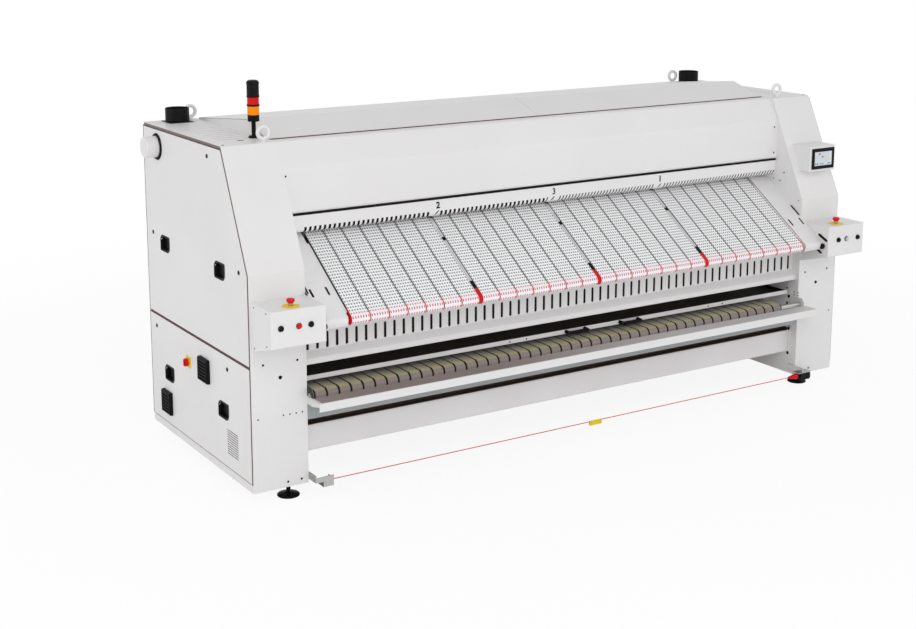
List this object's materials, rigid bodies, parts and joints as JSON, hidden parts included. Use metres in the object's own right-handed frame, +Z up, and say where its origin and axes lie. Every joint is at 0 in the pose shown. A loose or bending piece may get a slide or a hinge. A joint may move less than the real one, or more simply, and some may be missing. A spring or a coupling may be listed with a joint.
{
  "type": "flatwork ironer",
  "caption": "Freestanding flatwork ironer: sloping belt feed, heated cylinder between two towers, front delivery belts, lint drawer and pull-wire stop.",
  "frame": {"origin": "middle of the bottom of the whole machine's box, on the floor", "axes": "+X to the right as seen from the feed side, +Y from the feed side to the back, +Z up"},
  "size_m": [4.358, 1.695, 2.223],
  "materials": {
    "body_paint": "fine textured light grey-white powder coat",
    "frame_steel": "grey primer",
    "vent_plastic": "black plastic, matt",
    "yellow_plastic": "yellow plastic",
    "red_plastic": "red plastic",
    "black_plastic": "black plastic",
    "grey_plastic": "grey plastic",
    "amber": "amber lens",
    "signal_red": "red lens",
    "plated_steel": "zinc-plated steel",
    "feed_webbing": "white woven belt with rows of dark dots",
    "ironing_felt": "needled felt",
    "exit_webbing": "olive woven belt",
    "roller_tube": "turned tube",
    "polished_steel": "polished steel",
    "cast_housing": "painted casting",
    "cord_red": "red plastic over steel wire"
  },
  "bodies": {
    "frame": {"side_frame_left": "frame_steel", "side_frame_right": "frame_steel", "front_beam": "body_paint", "cross_ties": "frame_steel", "tower_shell_left": "body_paint", "tower_shell_right": "body_paint", "side_duct": "body_paint", "exhaust_spigots": "black_plastic", "lifting_eyes": "body_paint", "levelling_feet": "black_plastic", "stack_light_body": "black_plastic", "amber_lens": "amber", "red_lens": "signal_red", "control_box_left": "body_paint", "control_box_right": "body_paint", "stop_collars": "yellow_plastic", "touch_panel_box": "body_paint", "touch_panel": "black_plastic", "front_cover": "body_paint", "roof_covers": "body_paint", "rear_covers": "body_paint", "feed_bed": "body_paint", "feed_belts": "feed_webbing", "slotted_apron": "body_paint", "bearings": "cast_housing", "gear_motor": "cast_housing", "heating_elements": "polished_steel", "ironing_belt": "ironing_felt", "exit_belts": "exit_webbing", "exit_tray": "body_paint", "pull_cord": "cord_red", "cord_brackets": "plated_steel", "cord_switch": "black_plastic"},
    "upper_left_panel": {"side_panel_upper_left": "body_paint"},
    "upper_right_panel": {"side_panel_upper_right": "body_paint"},
    "lower_left_panel": {"side_panel_lower_left": "body_paint", "filter_boxes": "vent_plastic", "isolator_plate": "yellow_plastic"},
    "lower_right_panel": {"side_panel_lower_right": "body_paint"},
    "isolator_handle": {"isolator_handle": "red_plastic"},
    "stop_head_left": {"stop_head_left": "red_plastic"},
    "stop_head_right": {"stop_head_right": "red_plastic"},
    "finger_guard": {"finger_guard": "body_paint"},
    "lint_drawer": {"lint_drawer": "body_paint"},
    "cord_plunger": {"cord_plunger": "red_plastic"},
    "button_left_outer": {"button_left_outer": "black_plastic"},
    "button_left_middle": {"button_left_middle": "red_plastic"},
    "button_left_inner": {"button_left_inner": "black_plastic"},
    "button_right_inner": {"button_right_inner": "black_plastic"},
    "button_right_middle": {"button_right_middle": "grey_plastic"},
    "button_right_outer": {"button_right_outer": "black_plastic"},
    "nose_roller": {"nose_roller": "roller_tube"},
    "feed_roller": {"feed_roller": "roller_tube"},
    "ironing_cylinder": {"ironing_cylinder": "polished_steel"},
    "nip_roller": {"nip_roller": "roller_tube"},
    "rear_upper_roller": {"rear_upper_roller": "roller_tube"},
    "rear_lower_roller": {"rear_lower_roller": "roller_tube"},
    "delivery_roller": {"delivery_roller": "roller_tube"},
    "exit_front_roller": {"exit_front_roller": "roller_tube"},
    "exit_rear_roller": {"exit_rear_roller": "roller_tube"}
  },
  "joints": [
    {"name": "cylinder_spin", "type": "hinge", "parent": "frame", "child": "ironing_cylinder", "pos_m": [0.04, 0.2505, 1.15], "axis": [-1, 0, 0], "continuous": true},
    {"name": "nose_spin", "type": "hinge", "parent": "frame", "child": "nose_roller", "pos_m": [0.04, -0.75802, 1.00393], "axis": [-1, 0, 0], "continuous": true},
    {"name": "feed_spin", "type": "hinge", "parent": "frame", "child": "feed_roller", "pos_m": [0.04, -0.20479, 1.34954], "axis": [-1, 0, 0], "continuous": true},
    {"name": "nip_spin", "type": "hinge", "parent": "frame", "child": "nip_roller", "pos_m": [0.04, -0.02741, 1.50571], "axis": [-1, 0, 0], "continuous": true},
    {"name": "rear_upper_spin", "type": "hinge", "parent": "frame", "child": "rear_upper_roller", "pos_m": [0.04, 0.5905, 1.65], "axis": [-1, 0, 0], "continuous": true},
    {"name": "rear_lower_spin", "type": "hinge", "parent": "frame", "child": "rear_lower_roller", "pos_m": [0.04, 0.7005, 0.7], "axis": [-1, 0, 0], "continuous": true},
    {"name": "delivery_spin", "type": "hinge", "parent": "frame", "child": "delivery_roller", "pos_m": [0.04, -0.02741, 0.79429], "axis": [-1, 0, 0], "continuous": true},
    {"name": "exit_front_spin", "type": "hinge", "parent": "frame", "child": "exit_front_roller", "pos_m": [0.04, -0.6145, 0.572], "axis": [-1, 0, 0], "continuous": true},
    {"name": "exit_rear_spin", "type": "hinge", "parent": "frame", "child": "exit_rear_roller", "pos_m": [0.04, 0.0105, 0.572], "axis": [-1, 0, 0], "continuous": true},
    {"name": "guard_tilt", "type": "hinge", "parent": "frame", "child": "finger_guard", "pos_m": [0.04, -0.3275, 1.49], "axis": [1, 0, 0], "range_deg": [0, 6]},
    {"name": "drawer_slide", "type": "slide", "parent": "frame", "child": "lint_drawer", "axis": [0, -1, 0], "range_m": [0, 0.3]},
    {"name": "upper_left_panel_lift", "type": "slide", "parent": "frame", "child": "upper_left_panel", "axis": [-1, 0, 0], "range_m": [0, 0.15]},
    {"name": "lower_left_panel_lift", "type": "slide", "parent": "frame", "child": "lower_left_panel", "axis": [-1, 0, 0], "range_m": [0, 0.15]},
    {"name": "upper_right_panel_lift", "type": "slide", "parent": "frame", "child": "upper_right_panel", "axis": [1, 0, 0], "range_m": [0, 0.15]},
    {"name": "lower_right_panel_lift", "type": "slide", "parent": "frame", "child": "lower_right_panel", "axis": [1, 0, 0], "range_m": [0, 0.15]},
    {"name": "isolator_turn", "type": "hinge", "parent": "lower_left_panel", "child": "isolator_handle", "pos_m": [-2.11, 0.2585, 0.59], "axis": [-1, 0, 0], "range_deg": [0, 90]},
    {"name": "stop_push_left", "type": "slide", "parent": "frame", "child": "stop_head_left", "axis": [0, 0, -1], "range_m": [0, 0.006]},
    {"name": "button_left_outer_push", "type": "slide", "parent": "frame", "child": "button_left_outer", "axis": [0, 1, 0], "range_m": [0, 0.003], "stiffness_N_per_m": 400},
    {"name": "button_left_middle_push", "type": "slide", "parent": "frame", "child": "button_left_middle", "axis": [0, 1, 0], "range_m": [0, 0.003], "stiffness_N_per_m": 400},
    {"name": "button_left_inner_push", "type": "slide", "parent": "frame", "child": "button_left_inner", "axis": [0, 1, 0], "range_m": [0, 0.003], "stiffness_N_per_m": 400},
    {"name": "stop_push_right", "type": "slide", "parent": "frame", "child": "stop_head_right", "axis": [0, 0, -1], "range_m": [0, 0.006]},
    {"name": "button_right_outer_push", "type": "slide", "parent": "frame", "child": "button_right_outer", "axis": [0, 1, 0], "range_m": [0, 0.003], "stiffness_N_per_m": 400},
    {"name": "button_right_middle_push", "type": "slide", "parent": "frame", "child": "button_right_middle", "axis": [0, 1, 0], "range_m": [0, 0.003], "stiffness_N_per_m": 400},
    {"name": "button_right_inner_push", "type": "slide", "parent": "frame", "child": "button_right_inner", "axis": [0, 1, 0], "range_m": [0, 0.003], "stiffness_N_per_m": 400},
    {"name": "cord_pull", "type": "slide", "parent": "frame", "child": "cord_plunger", "axis": [-1, 0, 0], "range_m": [0, 0.006], "stiffness_N_per_m": 1500}
  ],
  "couplings": [
    {"joint": "nose_spin", "follows": "cylinder_spin", "ratio": 14.147},
    {"joint": "feed_spin", "follows": "cylinder_spin", "ratio": 9.269},
    {"joint": "nip_spin", "follows": "cylinder_spin", "ratio": -8.3651},
    {"joint": "rear_upper_spin", "follows": "cylinder_spin", "ratio": -8.3651},
    {"joint": "rear_lower_spin", "follows": "cylinder_spin", "ratio": -8.3651},
    {"joint": "delivery_spin", "follows": "cylinder_spin", "ratio": -8.3651},
    {"joint": "exit_front_spin", "follows": "cylinder_spin", "ratio": -12.8},
    {"joint": "exit_rear_spin", "follows": "cylinder_spin", "ratio": -12.8}
  ]
}
